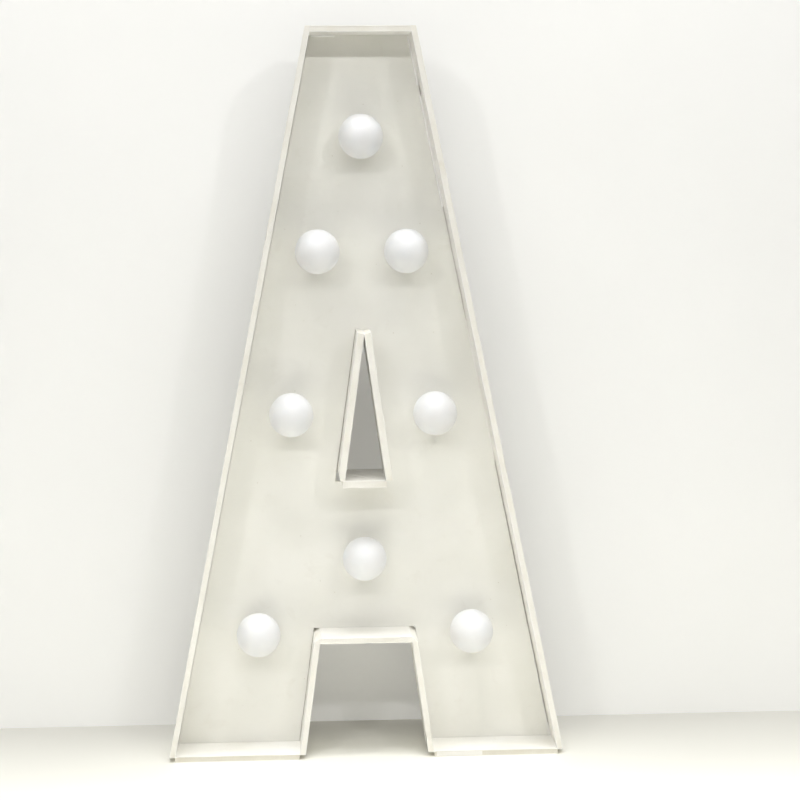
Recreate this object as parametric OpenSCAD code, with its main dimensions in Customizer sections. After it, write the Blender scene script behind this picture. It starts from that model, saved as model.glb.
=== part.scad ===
// Light-up letter A: a free-standing tray of white foam board with globe bulbs.
// Origin on the floor under the middle of the letter, front towards -Y, +Z up.

/* [Letter] */
// Height from the floor to the upper face of the top board
letter_h = 1219; // [1000:1:1500]
// Width outside the side walls at the floor
base_w = 669; // [560:1:800]
// Width outside the side walls at the top
top_w = 181; // [150:1:260]
// Front edges to the face of the panel
recess = 78; // [60:1:120]
// Back of the panel to the rear edges
back_space = 44; // [43:1:100]

/* [Boards] */
// Thickness of the side and leg walls
wall_t = 10; // [6:0.5:16]
// Thickness of the face panel
panel_t = 10; // [6:0.5:12]
// Thickness of the top board
top_t = 10; // [6:0.5:16]
// Thickness of the foot boards
foot_t = 10; // [6:0.5:16]
// Floor to the lower ends of the side walls
wall_lift = 8; // [1:0.5:9]
// Floor to the splice between the lower and upper side walls
splice_z = 637; // [500:1:800]
// Joint left open at each splice
splice_gap = 0.4; // [0.1:0.1:1]

/* [Leg gap] */
// Gap between the leg walls at the floor
foot_gap_w = 209; // [160:1:260]
// Gap between the leg walls under the crossbar
bar_gap_w = 155; // [110:1:200]
// Floor to the underside of the crossbar
bar_z = 198; // [140:1:240]
// Thickness of the crossbar board
bar_t = 10; // [6:0.5:16]
// Floor to the lower ends of the leg walls
leg_lift = 8; // [1:0.5:9]
// Fall of each leg wall's cut upper end towards the leg
leg_top_fall = 8; // [2:0.5:12]

/* [Counter] */
// Floor to the upper face of the sill
sill_z = 474; // [420:1:520]
// Thickness of the sill
sill_t = 12; // [6:0.5:16]
// Width of the opening on the sill
counter_w = 68; // [50:1:90]
// Reach of the sill past half that width at each end
sill_lap = 2.5; // [2:0.5:8]
// Sill to the inner apex
counter_h = 241; // [180:1:280]
// Thickness of the counter walls
counter_t = 12; // [6:0.5:16]
// Counter walls to the right of the letter's middle
counter_shift = 1.5; // [0:0.5:2]
// Inner apex to the bottom of the notch between the wall tops
apex_t = 3; // [2:0.5:8]
// Bottom of the notch to the outer corners of the wall tops
apex_rise = 3; // [1:0.5:8]
// Width cut off the left counter wall's lower outer corner
corner_cut_w = 4.5; // [1:0.5:5]
// Height of that cut
corner_cut_h = 12; // [4:1:20]

/* [Panel fit] */
// Gap from the panel to the left side wall
left_slit = 0.4; // [0.2:0.1:2]
// Gap from the panel to the right side wall at the foot, closing to the left one's at the top
right_slit = 1.6; // [0.2:0.1:5]
// Gap from the panel to the leg walls
leg_slit = 0.8; // [0.2:0.1:2]
// Gap from the panel to the right counter wall and the sill
counter_slit = 0.6; // [0.2:0.1:2]
// Gap from the panel to the left counter wall at its lower end
counter_gap = 3; // [0.6:0.1:5]
// Width of the battens behind the panel, seen from the back
batten_w = 15; // [10:1:25]
// Depth of the battens
batten_d = 18; // [10:1:22]
// Gap between the ends of battens that meet
batten_gap = 1; // [0.2:0.1:3]
// Length of the splice plates
splice_len = 150; // [80:1:200]
// Width of the splice plates
splice_w = 22; // [12:1:24]
// Thickness of the splice plates
splice_t = 8; // [4:0.5:12]

/* [Bulb places] */
// Top of the letter to the top bulb
top_bulb_drop = 177; // [140:1:200]
// Top of the letter to the shoulder bulbs
shoulder_bulb_drop = 366; // [320:1:400]
// Shoulder bulbs out from half way to the side wall
shoulder_bulb_shift = -3; // [-10:1:15]
// Floor to the waist bulbs
waist_bulb_z = 581; // [540:1:620]
// Waist bulbs out from the middle of their side
waist_bulb_shift = 1; // [-10:1:15]
// Floor to the bar bulb
bar_bulb_z = 335; // [300:1:360]
// Floor to the leg bulbs
leg_bulb_z = 207; // [190:1:220]
// Leg bulbs out from the middle of their leg
leg_bulb_shift = -4; // [-10:1:15]

/* [Bulbs] */
// Diameter of the globe
globe_d = 74; // [60:1:82]
// Wall of the globe
globe_wall = 1.5; // [1:0.1:3]
// Panel face to the back of the globe's ball
globe_gap = 2.5; // [2:0.5:10]
// Diameter of the neck where it carries the globe
neck_d = 40; // [34:1:44]
// Diameter of the neck at the cap
neck_end_d = 29; // [28:0.5:32]
// Diameter of the screw cap
cap_d = 26.2; // [26:0.1:26.6]
// Length of the screw cap
cap_len = 24; // [20:0.5:26]
// Sheet thickness of the screw cap and the socket shell
cap_wall = 0.6; // [0.4:0.1:1]
// Diameter of the insulator at the cap
tip_d = 20; // [16:0.5:22]
// Length of the insulator
tip_len = 3; // [2:0.5:5]
// Diameter of the centre contact
eyelet_d = 10; // [8:0.5:12]
// Height of the centre contact
eyelet_h = 1.5; // [1:0.1:3]
// Gap between pieces that turn on each other
turn_gap = 0.3; // [0.2:0.05:0.5]
// Running clearance of the centre contact's spigot
spigot_clear = 0.05; // [0.02:0.01:0.1]

/* [Lampholders] */
// Diameter of the hole in the panel for the neck
hole_d = 48; // [46:1:54]
// Diameter of the mounting flange
flange_d = 62; // [56:1:70]
// Thickness of the mounting flange
flange_t = 4; // [3:0.5:6]
// Diameter of the holder's body
holder_d = 42; // [38:1:46]
// Diameter of the mouth in the flange
mouth_d = 38; // [34:1:40]
// Bevel round the rear of the body
holder_bevel = 4; // [1:0.5:6]
// Thickness of the holder's rear wall
holder_floor = 6; // [4:0.5:8]
// Gap between the cap and the socket shell
shell_gap = 0.3; // [0.2:0.05:0.5]
// Gap round the socket shell in its body
seat_gap = 0.1; // [0.05:0.05:0.3]
// Thickness of the contact spring's strip
contact_t = 1; // [0.5:0.1:2]
// Width of the contact spring's strip
contact_w = 7; // [5:0.5:9]

/* [Wiring] */
// Diameter of the flex
flex_d = 6; // [4:0.5:7]
// Flange to the flex where it enters a holder
flex_rise = 0.9; // [0.5:0.1:2]
// Depth of the flex in a holder's side
flex_seat = 3; // [2:0.5:5]
// Clearance round the flex in holes and clips
flex_clear = 0.15; // [0.1:0.05:0.4]
// Run of the flex past the flange before it drops
flex_level = 2; // [1:0.5:5]
// Length along which the flex drops to the panel
flex_drop = 24; // [15:1:30]
// Length of the cable clips
clip_len = 10; // [6:0.5:14]
// Width of the cable clips
clip_w = 14; // [10:0.5:18]
// Roof of the cable clips over the flex
clip_t = 2; // [1:0.5:3]

/* [Junction box] */
// Width of the box
box_w = 90; // [80:1:120]
// Height of the box
box_h = 80; // [70:1:90]
// Depth of the box behind the panel
box_d = 26; // [24:1:30]
// Wall of the box
box_wall = 3; // [2:0.5:5]
// Thickness of the lid
lid_t = 3; // [2:0.5:4]
// Depth of the lid's locating rim
lid_rim = 3; // [2:0.5:5]
// Thickness of the lid's locating rim
lid_rim_t = 2; // [1:0.5:3]
// Gap round the lid's locating rim
lid_gap = 0.2; // [0.1:0.05:0.4]
// Rounding of the box corners
box_r = 6; // [5.5:0.5:10]
// Foot board to the underside of the box
box_rise = 40; // [20:1:60]
// Gland axis down from the middle of the box
gland_drop = 20; // [15:1:24]
// Diameter of the gland's bore for the supply lead
gland_bore_d = 7.4; // [6:0.1:9]
// Diameter of the gland's thread
gland_thread_d = 12; // [11:0.5:16]
// Width across the flats of the gland's hexagon
gland_af = 17; // [15:0.5:20]
// Height of the gland's hexagon
gland_hex_h = 4; // [3:0.5:5]
// Height of the gland's dome nut
gland_dome_h = 9; // [7:0.5:10]
// Diameter of the gland's dome nut
gland_dome_d = 15; // [13:0.5:18]
// Diameter of the dome nut at its mouth
gland_mouth_d = 10; // [9.5:0.5:12]
// Height of the dome nut's straight part
gland_straight_h = 4.5; // [3:0.5:6]
// Clearance of the gland and the switch in the lid
cutout_clear = 0.2; // [0.1:0.05:0.4]
// Gland's thread past the inside of the lid
gland_tail = 4; // [2:0.5:6]
// Height of the blocks in the terminal strip
block_h = 10; // [8:0.5:12]
// Rise of the blocks off the box's floor
block_d = 8; // [6:0.5:9]
// Width of each block in the terminal strip
block_w = 8; // [6:0.5:9]
// Web between two blocks
block_web = 2; // [1:0.5:3]

/* [Switch] */
// Switch centre up from the middle of the box
switch_rise = 16; // [12:1:20]
// Width of the switch body
switch_w = 20; // [16:0.5:26]
// Height of the switch body
switch_h = 28; // [22:0.5:30]
// Flange of the switch body past the lid's cut-out
switch_flange = 2; // [1:0.5:3]
// Thickness of that flange
switch_flange_t = 2; // [1.5:0.5:3]
// Depth of the switch body behind the flange
switch_d = 17; // [15:0.5:19]
// Frame round the rocker
switch_frame_t = 3; // [2:0.5:4]
// Gap round the rocker
rocker_gap = 0.5; // [0.4:0.05:0.8]
// Rise of the rocker's ends over the flange
rocker_rise = 3; // [2:0.5:4]
// Hollow of the rocker's crown between its ends
rocker_hollow = 1.5; // [0.5:0.1:2]
// Diameter of the rocker's pivot pin
pivot_d = 3; // [2:0.1:4]
// Pivot depth below the flange's face
pivot_drop = 3; // [2.5:0.1:4]
// Wall left outside the ends of the pivot pin
pivot_wall = 1; // [0.5:0.1:1.5]
// Radial running clearance of the pivot pin
pivot_clear = 0.05; // [0.02:0.01:0.1]
// Tilt of the rocker to each side of its middle
rocker_tilt = 10; // [6:0.5:12]

/* [Hidden] */
$fn = 96;

board_white = "#f4f1e8";
panel_white = "#f0ece0";
globe_white = "#fbfbf8";
plastic_white = "#eceae4";
plastic_black = "#26262a";
plated = "#c9c6bd";
brass_yellow = "#c8a75a";

// Overrun of a cut past the faces that it opens
over = 1;

// Planes across the depth
depth = recess + panel_t + back_space;
front_y = -depth / 2;
rear_y = depth / 2;
face_y = front_y + recess;
back_y = face_y + panel_t;
batten_y = back_y + batten_d;

// Slanted lines of the letter, as distances from the middle at a height
side_lean = atan((base_w - top_w) / 2 / letter_h);
leg_lean = atan((foot_gap_w - bar_gap_w) / 2 / bar_z);
counter_lean = atan(counter_w / 2 / counter_h);
apex_z = sill_z + counter_h;
notch_z = apex_z + apex_t;
tall_z = notch_z + apex_rise;
bar_top = bar_z + bar_t;
sill_x = counter_w / 2 + sill_lap;
top_under = letter_h - top_t;
function outer_x(z) = base_w / 2 - z * tan(side_lean);
function inner_x(z) = outer_x(z) - wall_t / cos(side_lean);
function leg_in(z) = foot_gap_w / 2 - z * tan(leg_lean);
function leg_out(z) = leg_in(z) + wall_t / cos(leg_lean);
function counter_in(z) = (apex_z - z) * tan(counter_lean);
function counter_out(z) = counter_in(z) + counter_t / cos(counter_lean);

// Bulbs: distance from the middle and height, top bulb first
top_bulb_z = letter_h - top_bulb_drop;
shoulder_z = letter_h - shoulder_bulb_drop;
shoulder_x = inner_x(shoulder_z) / 2 + shoulder_bulb_shift;
waist_x = (inner_x(waist_bulb_z) + counter_out(waist_bulb_z)) / 2 + waist_bulb_shift;
leg_x = (inner_x(leg_bulb_z) + leg_out(leg_bulb_z)) / 2 + leg_bulb_shift;
bulbs = [
    [0, top_bulb_z],
    [-shoulder_x, shoulder_z], [shoulder_x, shoulder_z],
    [-waist_x, waist_bulb_z], [waist_x, waist_bulb_z],
    [0, bar_bulb_z],
    [-leg_x, leg_bulb_z], [leg_x, leg_bulb_z]
];

// Heights along a bulb's axis from the back of the panel, positive to the front
globe_r = globe_d / 2;
globe_z = panel_t + globe_gap + globe_r;
neck_z = globe_z - sqrt(globe_r ^ 2 - (neck_d / 2) ^ 2);
cap_z = -flange_t / 2;
cap_end = cap_z - cap_len;
tip_top = cap_end - turn_gap;
tip_end = tip_top - tip_len;
eyelet_end = tip_end - eyelet_h;
contact_z = eyelet_end - turn_gap;
floor_z = contact_z - contact_t;
holder_end = floor_z - holder_floor;
cap_r = cap_d / 2;
spigot_r = eyelet_d / 2;
shell_in = cap_r + shell_gap;
shell_out = shell_in + cap_wall;
socket_r = shell_out + seat_gap;

// Flex runs between holders, by place in the list of bulbs
runs = [[7, 5], [5, 6], [7, 4], [4, 2], [2, 0], [0, 1], [1, 3]];
flex_r = flex_d / 2;
entry_rise = flange_t + flex_rise + flex_r;
entry_r = holder_d / 2 - flex_seat;
level_r = flange_d / 2 + flex_level;

// Junction box on the back of the panel, under the right leg's bulb
box_z = foot_t + box_rise + box_h / 2;
box_x = (inner_x(box_z) + leg_out(box_z)) / 2;
lid_y = back_y + box_d;
lid_face = lid_y + lid_t;
gland_z = box_z - gland_drop;
switch_z = box_z + switch_rise;
switch_face = lid_face + switch_flange_t;
pivot_y = switch_face - pivot_drop;
rocker_w = switch_w - 2 * switch_frame_t - 2 * rocker_gap;
rocker_h = switch_h - 2 * switch_frame_t - 2 * rocker_gap;

// An outline in X and Z carried through the depth from y0 to y1
module board(points, y0 = front_y, y1 = rear_y) {
    translate([0, y1, 0]) rotate([90, 0, 0]) linear_extrude(y1 - y0) polygon(points);
}

// A side wall between two heights, on the right for side 1 and the left for side -1
module side_wall(side, z0, z1) {
    board([
        [side * inner_x(z0), z0], [side * outer_x(z0), z0],
        [side * outer_x(z1), z1], [side * inner_x(z1), z1]
    ]);
}

module foot_board(side) {
    board([
        [side * leg_out(0), 0], [side * inner_x(0), 0],
        [side * inner_x(foot_t), foot_t], [side * leg_out(foot_t), foot_t]
    ]);
}

// The upper end is cut off askew and leaves a small hole at the panel's corner
module leg_wall(side) {
    cut_z = bar_top - leg_top_fall;
    board([
        [side * leg_in(leg_lift), leg_lift], [side * leg_out(leg_lift), leg_lift],
        [side * leg_out(cut_z), cut_z], [side * leg_in(bar_top), bar_top]
    ]);
}

// The two wall tops meet in a shallow notch over the apex
module counter_wall(side, low_corner) {
    translate([counter_shift, 0, 0]) board(concat(
        [[side * counter_in(sill_z), sill_z]],
        [for (corner = low_corner) [side * corner.x, corner.y]],
        [[side * counter_out(tall_z), tall_z], [0, notch_z], [0, apex_z]]
    ));
}

// Places a shape on bulb b's axis, with its height counted from the panel's back
module at_bulb(b) {
    translate([bulbs[b].x, back_y, bulbs[b].y]) rotate([90, 0, 0]) children();
}

// A ring or disc between two heights
module ring(r_out, r_in, z0, z1) {
    translate([0, 0, z0]) difference() {
        cylinder(r = r_out, h = z1 - z0);
        if (r_in > 0) translate([0, 0, -over]) cylinder(r = r_in, h = z1 - z0 + 2 * over);
    }
}

module face_panel() {
    sill_out = sill_x + counter_slit;
    sill_low = sill_z - sill_t - counter_slit;
    ledge_z = sill_z - counter_slit;
    over_z = tall_z + counter_slit;
    color(panel_white) difference() {
        board([
            [-inner_x(foot_t) + left_slit, foot_t], [-leg_out(foot_t) - leg_slit, foot_t],
            [-leg_out(bar_top) - leg_slit, bar_top], [leg_out(bar_top) + leg_slit, bar_top],
            [leg_out(foot_t) + leg_slit, foot_t], [inner_x(foot_t) - right_slit, foot_t],
            [inner_x(top_under) - left_slit, top_under], [-inner_x(top_under) + left_slit, top_under]
        ], face_y, back_y);
        board([
            [-sill_out, sill_low], [sill_out, sill_low], [sill_out, ledge_z], [-sill_out, ledge_z]
        ], face_y - over, back_y + over);
        translate([counter_shift, 0, 0]) board([
            [-counter_out(ledge_z) - counter_gap, sill_low], [0, sill_low],
            [0, ledge_z], [counter_out(ledge_z) + counter_slit, ledge_z],
            [counter_out(tall_z) + counter_slit, over_z], [0, notch_z + counter_slit],
            [-counter_out(tall_z) - counter_slit, over_z]
        ], face_y - over, back_y + over);
        for (b = [0:7]) at_bulb(b) translate([0, 0, -over]) cylinder(d = hole_d, h = panel_t + 2 * over);
    }
}

module left_wall_upper() { color(board_white) side_wall(-1, splice_z + splice_gap / 2, letter_h); }
module left_wall_lower() { color(board_white) side_wall(-1, wall_lift, splice_z - splice_gap / 2); }
module right_wall_upper() { color(board_white) side_wall(1, splice_z + splice_gap / 2, letter_h); }
module right_wall_lower() { color(board_white) side_wall(1, wall_lift, splice_z - splice_gap / 2); }
module left_foot_board() { color(board_white) foot_board(-1); }
module right_foot_board() { color(board_white) foot_board(1); }
module left_leg_wall() { color(board_white) leg_wall(-1); }
module right_leg_wall() { color(board_white) leg_wall(1); }

// The lower outer corner of this wall was sawn off askew
module counter_left_wall() {
    cut_z = sill_z + corner_cut_h;
    color(board_white) counter_wall(-1, [
        [counter_out(sill_z) - corner_cut_w, sill_z], [counter_out(cut_z), cut_z]
    ]);
}

module counter_right_wall() { color(board_white) counter_wall(1, [[counter_out(sill_z), sill_z]]); }

module top_board() {
    color(board_white) board([
        [-inner_x(top_under), top_under], [inner_x(top_under), top_under],
        [inner_x(letter_h), letter_h], [-inner_x(letter_h), letter_h]
    ]);
}

module crossbar_board() {
    color(board_white) board([
        [-leg_in(bar_z), bar_z], [leg_in(bar_z), bar_z],
        [leg_in(bar_top), bar_top], [-leg_in(bar_top), bar_top]
    ]);
}

module counter_sill() {
    color(board_white) board([
        [-sill_x, sill_z - sill_t], [sill_x, sill_z - sill_t],
        [sill_x, sill_z], [-sill_x, sill_z]
    ]);
}

// Glue battens in the corners between the panel's back and the boards round it
module panel_battens() {
    module batten(points) { board(points, back_y, batten_y); }
    foot_z = foot_t + batten_w + batten_gap;
    top_b = top_under - batten_w;
    top_z = top_b - batten_gap;
    bar_b = bar_top + batten_w;
    leg_z = bar_top - leg_top_fall - batten_gap;
    low_z = sill_z + batten_gap;
    color(board_white) {
        batten([
            [-inner_x(top_b), top_b], [inner_x(top_b), top_b],
            [inner_x(top_under), top_under], [-inner_x(top_under), top_under]
        ]);
        batten([
            [-leg_in(bar_top), bar_top], [leg_in(bar_top), bar_top],
            [leg_in(bar_top), bar_b], [-leg_in(bar_top), bar_b]
        ]);
        for (side = [-1, 1]) {
            batten([
                [side * (inner_x(foot_z) - batten_w), foot_z], [side * inner_x(foot_z), foot_z],
                [side * inner_x(top_z), top_z], [side * (inner_x(top_z) - batten_w), top_z]
            ]);
            batten([
                [side * leg_out(foot_t), foot_t], [side * inner_x(foot_t), foot_t],
                [side * inner_x(foot_t + batten_w), foot_t + batten_w],
                [side * leg_out(foot_t + batten_w), foot_t + batten_w]
            ]);
            batten([
                [side * leg_out(foot_z), foot_z], [side * (leg_out(foot_z) + batten_w), foot_z],
                [side * (leg_out(leg_z) + batten_w), leg_z], [side * leg_out(leg_z), leg_z]
            ]);
            translate([counter_shift, 0, 0]) batten([
                [side * counter_out(low_z), low_z], [side * (counter_out(low_z) + batten_w), low_z],
                [side * (counter_out(apex_z) + batten_w), apex_z], [side * counter_out(apex_z), apex_z]
            ]);
        }
    }
}

// Plates glued across the splices, behind the battens
module wall_splices() {
    z0 = splice_z - splice_len / 2;
    z1 = splice_z + splice_len / 2;
    reach = splice_t / cos(side_lean);
    color(board_white) for (side = [-1, 1]) board([
        [side * (inner_x(z0) - reach), z0], [side * inner_x(z0), z0],
        [side * inner_x(z1), z1], [side * (inner_x(z1) - reach), z1]
    ], batten_y, batten_y + splice_w);
}

// Directions, in X and Z, of the flex runs that enter a bulb's holder
function exits(b) = concat(
    [for (run = runs) if (run[0] == b) bulbs[run[1]] - bulbs[b]],
    [for (run = runs) if (run[1] == b) bulbs[run[0]] - bulbs[b]],
    b == 7 ? [[box_x, box_z + box_h / 2] - bulbs[7]] : []
);

// Flanged moulding with a stepped bore and a drilled entry for each flex
module lampholder_bodies() {
    rear_r = holder_d / 2 - holder_bevel;
    color(plastic_white) for (b = [0:7]) at_bulb(b) difference() {
        rotate_extrude() polygon([
            [0, holder_end], [rear_r, holder_end], [holder_d / 2, holder_end + holder_bevel],
            [holder_d / 2, -flange_t], [flange_d / 2, -flange_t], [flange_d / 2, 0], [mouth_d / 2, 0],
            [mouth_d / 2, -flange_t], [socket_r, -flange_t], [socket_r, floor_z], [0, floor_z]
        ]);
        for (exit = exits(b)) rotate([0, 0, atan2(exit.y, exit.x)])
            translate([entry_r, 0, -entry_rise]) rotate([0, 90, 0])
                cylinder(r = flex_r + flex_clear, h = flange_d);
    }
}

module socket_shells() {
    color(plated) for (b = [0:7]) at_bulb(b) ring(shell_out, shell_in, floor_z, -flange_t);
}

// Contact strip on the floor of the socket under the bulb's centre contact
module socket_contacts() {
    color(brass_yellow) for (b = [0:7]) at_bulb(b) intersection() {
        ring(shell_in - shell_gap, 0, floor_z, contact_z);
        translate([-contact_w / 2, -shell_in, floor_z]) cube([contact_w, 2 * shell_in, contact_t]);
    }
}

// Opal ball, open where the neck carries it
module bulb_globe(b) {
    color(globe_white) at_bulb(b) translate([0, 0, globe_z]) rotate_extrude() intersection() {
        difference() {
            circle(globe_r);
            circle(globe_r - globe_wall);
        }
        translate([0, neck_z - globe_z]) square([globe_d, globe_d + globe_r]);
    }
}

// Tapered housing with a driver pot that fills the cap
module bulb_neck(b) {
    pot_r = cap_r - cap_wall - seat_gap;
    pot_z = cap_end + cap_wall + seat_gap;
    color(plastic_white) at_bulb(b) rotate_extrude() polygon([
        [0, pot_z], [pot_r, pot_z], [pot_r, cap_z], [neck_end_d / 2, cap_z],
        [neck_d / 2, neck_z], [0, neck_z]
    ]);
}

module bulb_cap(b) {
    eye_r = spigot_r + spigot_clear;
    color(plated) at_bulb(b) rotate_extrude() polygon([
        [eye_r, cap_end], [cap_r, cap_end], [cap_r, cap_z], [cap_r - cap_wall, cap_z],
        [cap_r - cap_wall, cap_end + cap_wall], [eye_r, cap_end + cap_wall]
    ]);
}

// Insulator and centre contact, with a spigot in the cap's end
module bulb_tip(b) {
    color(plastic_black) at_bulb(b) rotate_extrude() polygon([
        [0, eyelet_end], [eyelet_d / 2, eyelet_end], [eyelet_d / 2, tip_end],
        [tip_d / 2, tip_top], [spigot_r, tip_top], [spigot_r, cap_end + cap_wall / 2],
        [0, cap_end + cap_wall / 2]
    ]);
}

// Height of the flex's middle over the panel's back, at a distance from a holder's axis
function flex_height(r) = let (t = min(1, max(0, (r - level_r) / flex_drop)))
    entry_rise + (flex_r - entry_rise) * (3 * t ^ 2 - 2 * t ^ 3);

// Distances of a run's rings from the first holder's axis, the same from both ends
function run_stations(span) = let (half = [entry_r, level_r, level_r + flex_drop / 3,
        level_r + flex_drop * 2 / 3, level_r + flex_drop])
    concat(half, [span / 2], [for (k = [4:-1:0]) span - half[k]]);

// A tube of 8 sides through rings at [distance, height] along a line in X and Z
module flex_tube(from, to, stations, heights) {
    sides = 8;
    along = (to - from) / norm(to - from);
    across = [along.y, -along.x];
    n = len(stations);
    points = [for (k = [0:n - 1]) for (s = [0:sides - 1]) let (
        turn = 360 * s / sides,
        mid = from + along * stations[k],
        off = across * flex_r * cos(turn)
    ) [mid.x + off.x, back_y + heights[k] + flex_r * sin(turn), mid.y + off.y]];
    skin = [for (k = [0:n - 2]) for (s = [0:sides - 1]) let (
        a = k * sides + s,
        b = k * sides + (s + 1) % sides
    ) each [[a, b, b + sides], [a, b + sides, a + sides]]];
    ends = [for (s = [1:sides - 2]) each [
        [0, s + 1, s], (n - 1) * sides * [1, 1, 1] + [0, s, s + 1]
    ]];
    polyhedron(points, concat(skin, ends));
}

module wiring_flex() {
    color(plastic_white) {
        for (run = runs) {
            from = bulbs[run[0]];
            to = bulbs[run[1]];
            span = norm(to - from);
            stations = run_stations(span);
            flex_tube(from, to, stations, [for (s = stations) flex_height(min(s, span - s))]);
        }
        box_top = [box_x, box_z + box_h / 2];
        span = norm(box_top - bulbs[7]);
        flex_tube(bulbs[7], box_top, [entry_r, span + box_wall], [entry_rise, entry_rise]);
    }
}

// Saddles over the flex, half way along each run
module cable_clips() {
    color(plastic_white) for (run = runs) {
        from = bulbs[run[0]];
        to = bulbs[run[1]];
        mid = (from + to) / 2;
        translate([mid.x, back_y, mid.y]) rotate([0, -atan2(to.y - from.y, to.x - from.x), 0])
            difference() {
                translate([-clip_len / 2, 0, -clip_w / 2]) cube([clip_len, flex_d + clip_t, clip_w]);
                translate([-clip_len, flex_r, 0]) rotate([0, 90, 0])
                    cylinder(r = flex_r + flex_clear, h = 2 * clip_len);
                translate([-clip_len, -over, -flex_r - flex_clear])
                    cube([2 * clip_len, flex_r + over, flex_d + 2 * flex_clear]);
            }
    }
}

// A rectangle in X and Z with round corners, carried from y0 to y1
module rounded_slab(w, h, r, y0, y1) {
    translate([0, y1, 0]) rotate([90, 0, 0]) linear_extrude(y1 - y0) union() {
        square([w - 2 * r, h], center = true);
        square([w, h - 2 * r], center = true);
        for (x = [-1, 1], z = [-1, 1]) translate([x * (w / 2 - r), z * (h / 2 - r)]) circle(r);
    }
}

module junction_box() {
    run = [box_x, box_z + box_h / 2] - bulbs[7];
    color(plastic_white) difference() {
        translate([box_x, 0, box_z]) difference() {
            rounded_slab(box_w, box_h, box_r, back_y, lid_y);
            rounded_slab(box_w - 2 * box_wall, box_h - 2 * box_wall, box_r - box_wall,
                back_y + box_wall, lid_y + over);
        }
        translate([box_x, back_y + entry_rise, box_z + box_h / 2])
            rotate([0, 90 - atan2(run.y, run.x), 0]) translate([0, 0, -flex_d])
                cylinder(r = flex_r + flex_clear, h = flex_d + 2 * box_wall);
    }
}

module junction_box_lid() {
    rim_w = box_w - 2 * box_wall - 2 * lid_gap;
    rim_h = box_h - 2 * box_wall - 2 * lid_gap;
    rim_r = box_r - box_wall - lid_gap;
    color(plastic_white) difference() {
        translate([box_x, 0, box_z]) {
            rounded_slab(box_w, box_h, box_r, lid_y, lid_face);
            difference() {
                rounded_slab(rim_w, rim_h, rim_r, lid_y - lid_rim, lid_y);
                translate([0, lid_y - lid_rim, 0])
                    cube([rim_w - 2 * lid_rim_t, 2 * lid_rim, rim_h - 2 * lid_rim_t], center = true);
            }
        }
        translate([box_x, lid_y - over, gland_z]) rotate([-90, 0, 0])
            cylinder(d = gland_thread_d + 2 * cutout_clear, h = lid_t + 2 * over);
        translate([box_x, (lid_y + lid_face) / 2, switch_z])
            cube([switch_w + 2 * cutout_clear, lid_t + 2 * over, switch_h + 2 * cutout_clear],
                center = true);
    }
}

// Three joined blocks on the floor of the box, in its lower edge
module terminal_strip() {
    pitch = block_w + block_web;
    low_z = box_z - box_h / 2 + box_wall;
    color(plastic_black) translate([box_x, back_y + box_wall, low_z]) {
        for (k = [-1, 0, 1]) translate([k * pitch - block_w / 2, 0, 0])
            cube([block_w, block_d, block_h]);
        translate([-pitch, 0, 0]) cube([2 * pitch, block_d / 2, block_h]);
    }
}

module cable_gland() {
    color(plastic_black) translate([box_x, lid_face, gland_z]) rotate([-90, 0, 0]) difference() {
        union() {
            translate([0, 0, -lid_t - gland_tail]) cylinder(d = gland_thread_d, h = lid_t + gland_tail);
            cylinder(d = gland_af / cos(30), h = gland_hex_h, $fn = 6);
            translate([0, 0, gland_hex_h]) rotate_extrude() polygon([
                [0, 0], [gland_dome_d / 2, 0], [gland_dome_d / 2, gland_straight_h],
                [gland_mouth_d / 2, gland_dome_h], [0, gland_dome_h]
            ]);
        }
        translate([0, 0, -lid_t - gland_tail - over])
            cylinder(d = gland_bore_d, h = lid_t + gland_tail + gland_hex_h + gland_dome_h + 2 * over);
    }
}

module switch_body() {
    well_w = rocker_w + 2 * rocker_gap;
    well_h = rocker_h + 2 * rocker_gap;
    color(plastic_black) translate([box_x, 0, switch_z]) difference() {
        union() {
            translate([-switch_w / 2, lid_face - switch_d, -switch_h / 2])
                cube([switch_w, switch_d, switch_h]);
            translate([-switch_w / 2 - switch_flange, lid_face, -switch_h / 2 - switch_flange])
                cube([switch_w + 2 * switch_flange, switch_flange_t, switch_h + 2 * switch_flange]);
        }
        translate([-well_w / 2, pivot_y - rocker_h / 2, -well_h / 2]) cube([well_w, rocker_h, well_h]);
        translate([-switch_w / 2 + pivot_wall, pivot_y, 0]) rotate([0, 90, 0])
            cylinder(r = pivot_d / 2 + pivot_clear, h = switch_w - 2 * pivot_wall);
    }
}

// Rocker that stands tilted to its off side, on a pin in the switch body
module switch_rocker() {
    bow_r = rocker_h / 2;
    end_y = pivot_drop + rocker_rise;
    pin_len = switch_w - 2 * pivot_wall - 2 * turn_gap;
    color(plastic_black) translate([box_x, pivot_y, switch_z]) rotate([-rocker_tilt, 0, 0]) {
        rotate([0, 90, 0]) cylinder(d = pivot_d, h = pin_len, center = true);
        translate([-rocker_w / 2, 0, 0]) rotate([0, 90, 0]) linear_extrude(rocker_w) intersection() {
            circle(bow_r);
            polygon([
                [-bow_r, -pivot_d], [bow_r, -pivot_d], [bow_r, end_y],
                [0, end_y - rocker_hollow], [-bow_r, end_y]
            ]);
        }
    }
}

face_panel();
left_wall_upper();
left_wall_lower();
right_wall_upper();
right_wall_lower();
top_board();
left_foot_board();
right_foot_board();
left_leg_wall();
right_leg_wall();
crossbar_board();
counter_left_wall();
counter_right_wall();
counter_sill();
panel_battens();
wall_splices();
lampholder_bodies();
socket_shells();
socket_contacts();
wiring_flex();
cable_clips();
junction_box();
junction_box_lid();
terminal_strip();
cable_gland();
switch_body();
switch_rocker();
for (b = [0:7]) {
    bulb_globe(b);
    bulb_neck(b);
    bulb_cap(b);
    bulb_tip(b);
}
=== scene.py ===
import math

import bmesh
import bpy
from mathutils import Matrix, Vector, noise


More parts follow.
